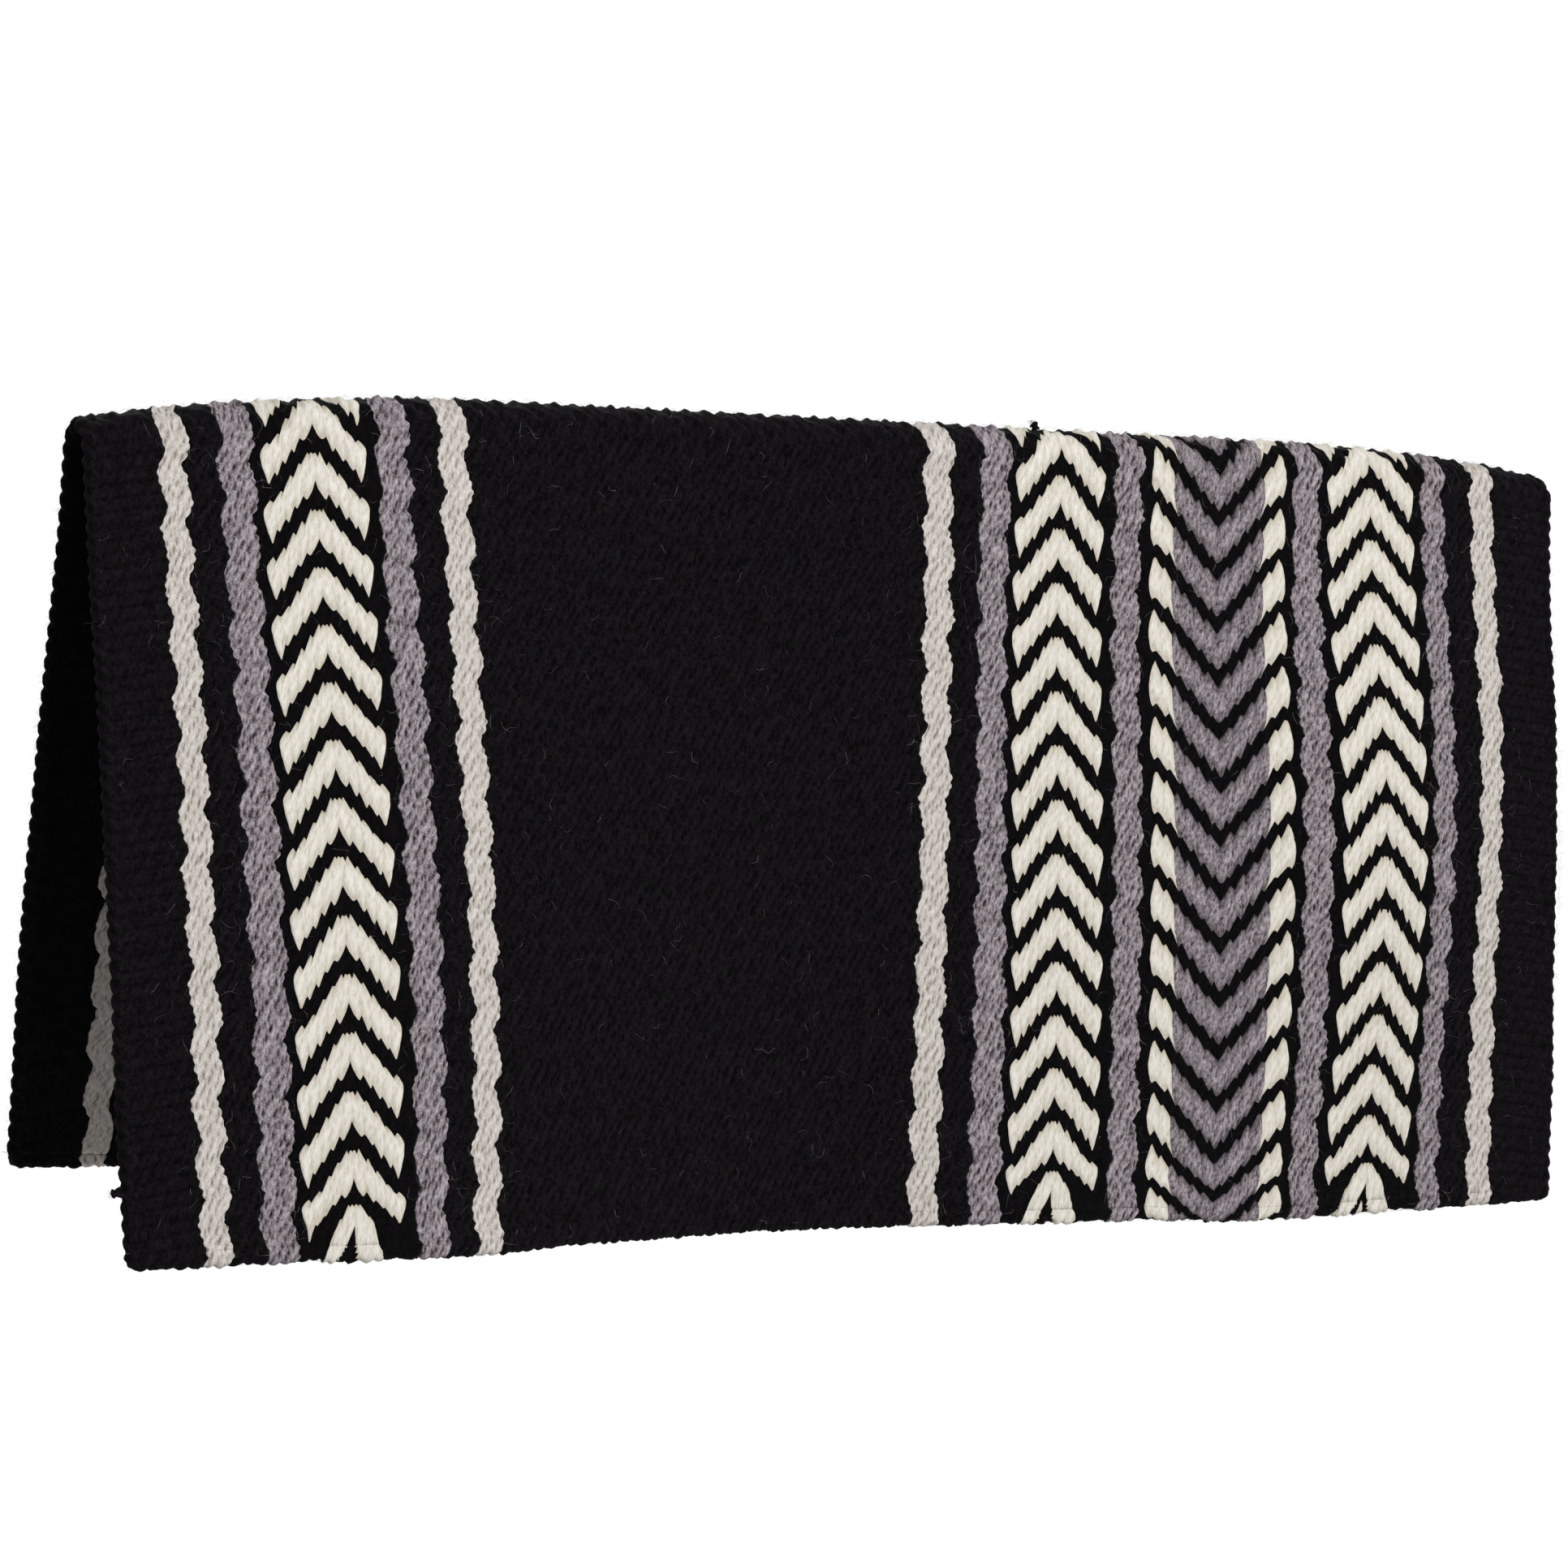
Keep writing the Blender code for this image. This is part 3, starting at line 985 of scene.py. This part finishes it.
def woven_half(half):
    """Every band of one half, and its hem."""
    hem = Skin()
    for number, (name, _, colour, _, _) in enumerate(bands[:-1]):
        lines = Lines(number)
        skin = Skin()
        add_band(skin, lines, half)
        add_hem(hem, lines, half)
        piece = show(f"{half}_{name}_weave", skin, half == "rear", colour, f"{half}_{name}")
        hang(piece)
    piece = show(f"{half}_hem_loops", hem, half == "rear", "black", f"{half}_hem_cord")
    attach(piece, half + "_half")


def round_angles(sides):
    """The angles of a ring's points."""
    return np.arange(sides) / sides * 2 * math.pi


def add_yarn(skin, points, place):
    """A black yarn along rings of points, closed at its start and drawn to a point at its end."""
    grid = skin.add_points(points, place)
    grid[-1] = grid[-1, 0]
    close_ring(skin, grid[0])
    skin.add_grid(ringed(grid), black)


def end_cord(half, end):
    """The doubled yarn along one end of the cloth, from the fold to the hem."""
    sign = -1 if end == "left" else 1
    x = sign * (half_length - end_cord_radius)
    length = float(drop(np.array(x), half)) - hem_cord_radius / 2
    down = np.linspace(0, length, int(length / cord_step))
    s = -out_signs[half] * down
    xs = x + sway(np.full_like(down, x), s)
    out, height, out_normal, up_normal = cloth_middle(xs, half, down)
    around = round_angles(cord_sides)
    twist = 2 * math.pi * s / cord_turn
    swell = np.abs(np.sin(twist[:, None] + around))
    radius = cord_width + cord_squeeze * (2 * swell - 1)
    close = np.sqrt(np.clip((length - down) / cord_width, 0, 1))[:, None]
    side, rise = radius * np.cos(around), radius * close * np.sin(around)
    y = out_signs[half] * (out[:, None] + rise * out_normal[:, None])
    z = height[:, None] + rise * up_normal[:, None]
    skin = Skin()
    place = np.stack([around * radius, s[:, None] + 0 * y, swell], -1)
    add_yarn(skin, np.stack([xs[:, None] + side * close, y, z], -1), place)
    piece = show(f"{half}_{end}_edge_yarn", skin, half == "rear", "black", f"{half}_{end}_end_cord")
    hang(piece)


def unit(vectors):
    """These vectors at a length of 1."""
    return vectors / np.maximum(np.linalg.norm(vectors, axis=-1, keepdims=True), shortest)


def rings(points, normals, sides):
    """Rings of directions round lines of points."""
    ahead = unit(np.gradient(points, axis=-2))
    side = unit(np.cross(ahead, normals))
    rise = np.cross(side, ahead)
    around = round_angles(sides)[:, None]
    return np.cos(around) * side[..., None, :] + np.sin(around) * rise[..., None, :]


def tubes(skin, points, normals, radii, slots):
    """Thin three-sided fibres along rows of points."""
    grid = points[:, :, None] + radii[:, :, None, None] * rings(points, normals, 3)
    place = np.stack([grid[..., 0], grid[..., 2], np.ones(grid.shape[:-1])], -1)
    numbers = skin.add_points(grid, place)
    skin.add_grid(ringed(numbers), slots[:, None, None])
    for end, order in ((0, (2, 1, 0)), (-1, (0, 1, 2))):
        a, b, c = (numbers[:, end, corner] for corner in order)
        skin.add_faces(a, b, c, c, slots)


def fibres(skin, half, places, lengths, rises, slots, round_hem=0.0, thickness=1.0):
    """Loose wool fibres that leave the cloth at (x, down, heading) places, and curl as they go."""
    x, down, heading = places
    count = len(x)
    along = np.linspace(0, 1, fibre_joints)
    length = chances.uniform(*lengths, count)
    rise = chances.uniform(*rises, count)
    radius = thickness * chances.uniform(*fibre_radii, count)
    curl = chances.normal(0, fibre_curl, (count, fibre_joints)).cumsum(1)
    turn = heading[:, None] + curl
    step = (length / (fibre_joints - 1))[:, None]
    xs = x[:, None] + np.cumsum(np.cos(turn) * step, 1)
    downs = np.clip(down[:, None] + np.cumsum(np.sin(turn) * step, 1), 0, None)
    downs = np.minimum(downs, drop(xs, half) - half_cloth)
    lift = rise[:, None] * np.sin(np.pi * along * fibre_arc_share) - fibre_root
    points = cloth_point(xs, half, downs, round_hem, lift)
    _, _, out_normal, up_normal = cloth_middle(xs, half, downs)
    normals = np.stack([0 * xs, out_signs[half] * out_normal, up_normal], -1)
    plump = np.sin(np.pi * (taper_start + taper_span * along))
    tubes(skin, points, normals, radius[:, None] * (1 - taper + taper * plump), slots)


def black_slots(count):
    """The slot of black wool, for each of so many fibres."""
    return np.full(count, black)


def loose_end(skin, half, place):
    """A short frayed end of black yarn that sticks out of the cloth, at x, down and a heading."""
    x, down, heading, length, radius = place
    joints = np.linspace(0, 1, stub_joints)
    bend = heading + stub_bend * joints
    step = length / (stub_joints - 1)
    xs = x + np.cumsum(np.cos(bend)) * step
    lift = np.cumsum(np.sin(bend)) * step
    points = cloth_point(xs, half, np.full_like(xs, down), 0.0, lift - stub_root)
    close = np.sqrt(np.clip((1 - joints) / stub_tip_share, 0, 1))[:, None]
    twist = 2 * round_angles(stub_sides) + stub_twist * joints[:, None]
    swell = 1 + stub_swell * np.sin(twist)
    ring = rings(points, (0.0, 1.0, 0.0), stub_sides)
    grid = points[:, None] + (radius * close * swell)[..., None] * ring
    add_yarn(skin, grid, np.stack([grid[..., 0], grid[..., 2], swell], -1))
    count = stub_fibres
    places = (chances.normal(xs[-1], fray_reach, count), chances.normal(down, fray_reach, count),
              chances.normal(heading, fray_turn, count))
    fibres(skin, half, places, fray_lengths, (lift[-1], lift[-1] + fray_rise), black_slots(count),
           0.0, fray_thickness)


def fuzz(half):
    """The haze of stray fibres over one half: pale ones over the black, and dark over the light."""
    skin = Skin()
    edges = np.array([band[3] for band in bands[1:-1]])
    inside = half_length - fuzz_margin

    def beside(count):
        return chances.choice(edges, count) + chances.normal(0, fuzz_reach, count)

    def anywhere(count):
        return chances.uniform(-inside, inside, count)

    def falls(count):
        return chances.uniform(0.0, drops[half] - fuzz_hem_margin, count)

    def turns(count):
        return chances.uniform(0, 2 * math.pi, count)

    def pale_slots(count):
        return chances.choice([grey, purple], count)

    def rim(places, lengths, rises, round_hem=0.0):
        fibres(skin, half, places, lengths, rises, black_slots(rim_fibres), round_hem, rim_thickness)

    for across, count, slots in ((beside, edge_fibres, pale_slots), (beside, edge_fibres, black_slots),
                                 (anywhere, field_fibres, pale_slots)):
        places = (across(count), falls(count), turns(count))
        fibres(skin, half, places, fibre_lengths, fibre_rises, slots(count))
    count = rim_fibres
    places = (anywhere(count), np.abs(chances.normal(0, fold_fuzz_reach, count)), turns(count))
    rim(places, fold_fibre_lengths, fold_fibre_rises)
    for share in hem_fuzz_turns:
        across = anywhere(count)
        outward = chances.normal(math.pi / 2, hem_fuzz_turn, count)
        rim((across, np.full(count, drops[half]), outward), hem_fibre_lengths, rim_rises, share * math.pi)
    for side in (-1, 1):
        outward = chances.normal(0 if side > 0 else math.pi, end_fuzz_turn, count)
        places = (np.full(count, side * (half_length - end_fuzz_margin)), falls(count), outward)
        rim(places, end_fibre_lengths, rim_rises)
    for place in loose_ends[half]:
        loose_end(skin, half, place)
    hang(show(f"{half}_fuzz", skin, True, "cream"))


def ridge_yarn():
    """The two-ply warp that lies along the fold, inside the cloth."""
    first = -half_length + 2 * end_cord_radius + ridge_gap
    x = np.linspace(first, -first, int(-2 * first / ridge_step))
    around = round_angles(ridge_sides)
    skin = Skin()
    for ply in (0, math.pi):
        twist = (2 * math.pi * x / ridge_turn + ply)[:, None]
        y = ridge_offset * np.cos(twist) + ridge_radius * np.cos(around)
        z = (hinge_height - half_cloth - droop(x))[:, None]
        z = z + ridge_offset * np.sin(twist) + ridge_radius * np.sin(around)
        points = np.stack([np.broadcast_to(x[:, None], y.shape), y, z], -1)
        grid = skin.add_points(points, np.stack([points[..., 0], points[..., 1], 0 * y + 1], -1))
        skin.add_grid(ringed(grid).T, black)
        close_ring(skin, grid[0, ::-1])
        close_ring(skin, grid[-1])
    piece = show("ridge_yarn", skin, True, "black", "ridge_warp")
    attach(piece, "ridge")


chances = np.random.default_rng(7)
for half in ("front", "rear"):
    woven_half(half)
    end_cord(half, "left")
    end_cord(half, "right")
    fuzz(half)
ridge_yarn()


def pale_floor():
    """A round pale floor, far below the hanging blanket."""
    material = bpy.data.materials.new("Pale floor")
    material.use_nodes = True
    shader = material.node_tree.nodes["Principled BSDF"]
    value_at(shader, "Base Color", floor_colour)
    value_at(shader, "Roughness", floor_roughness)
    bpy.ops.mesh.primitive_circle_add(vertices=floor_sides, radius=floor_radius, fill_type="NGON",
                                      location=(0, 0, floor_height))
    floor = bpy.context.object
    floor.name = "floor"
    floor.data.materials.append(material)


def white_world():
    """Plain light from all round, on a white background."""
    world = bpy.data.worlds.new("Studio")
    bpy.context.scene.world = world
    world.use_nodes = True
    nodes, links = world.node_tree.nodes, world.node_tree.links
    nodes.clear()
    light, white = nodes.new("ShaderNodeBackground"), nodes.new("ShaderNodeBackground")
    for background, strength in ((light, world_strength), (white, 1.0)):
        value_at(background, "Color", (1, 1, 1, 1))
        value_at(background, "Strength", strength)
    path = nodes.new("ShaderNodeLightPath")
    glossy, clear = path.outputs["Is Glossy Ray"], path.outputs["Is Transmission Ray"]
    seen = maths(nodes, links, "MAXIMUM", glossy, clear)
    seen = maths(nodes, links, "MAXIMUM", path.outputs["Is Camera Ray"], seen)
    mix, out = nodes.new("ShaderNodeMixShader"), nodes.new("ShaderNodeOutputWorld")
    links.new(seen, mix.inputs[0])
    links.new(light.outputs[0], mix.inputs[1])
    links.new(white.outputs[0], mix.inputs[2])
    links.new(mix.outputs[0], out.inputs["Surface"])


def soft_light(name, place, size, power):
    """A square soft light that faces the blanket."""
    lamp = bpy.data.lights.new(name, "AREA")
    lamp.energy, lamp.size = power, size
    light = bpy.data.objects.new(name, lamp)
    light.location = place
    toward = np.array(light_aim) - place
    yaw, reach = math.atan2(toward[0], -toward[1]), math.hypot(toward[0], toward[1])
    light.rotation_euler = (math.atan2(reach, -toward[2]), 0, yaw + math.pi)
    bpy.context.collection.objects.link(light)


def place_camera():
    """The camera, level with the blanket's middle and off to its left."""
    lens = bpy.data.cameras.new("Camera")
    lens.sensor_width = sensor_width
    lens.lens = sensor_width * focal_pixels / picture_pixels
    lens.clip_end = sight_limit
    camera = bpy.data.objects.new("Camera", lens)
    sin, cos = math.sin(camera_yaw), math.cos(camera_yaw)
    camera.location = (
        -camera_side * cos - camera_distance * sin,
        camera_side * sin - camera_distance * cos - sight_offset,
        camera_height,
    )
    tilt = math.atan((horizon_pixel - picture_pixels / 2) / focal_pixels)
    camera.rotation_euler = (math.pi / 2 + tilt, 0, -camera_yaw)
    bpy.context.collection.objects.link(camera)
    bpy.context.scene.camera = camera


pale_floor()
white_world()
for light in lights:
    soft_light(*light)
place_camera()
bpy.context.scene.view_settings.view_transform = "Standard"
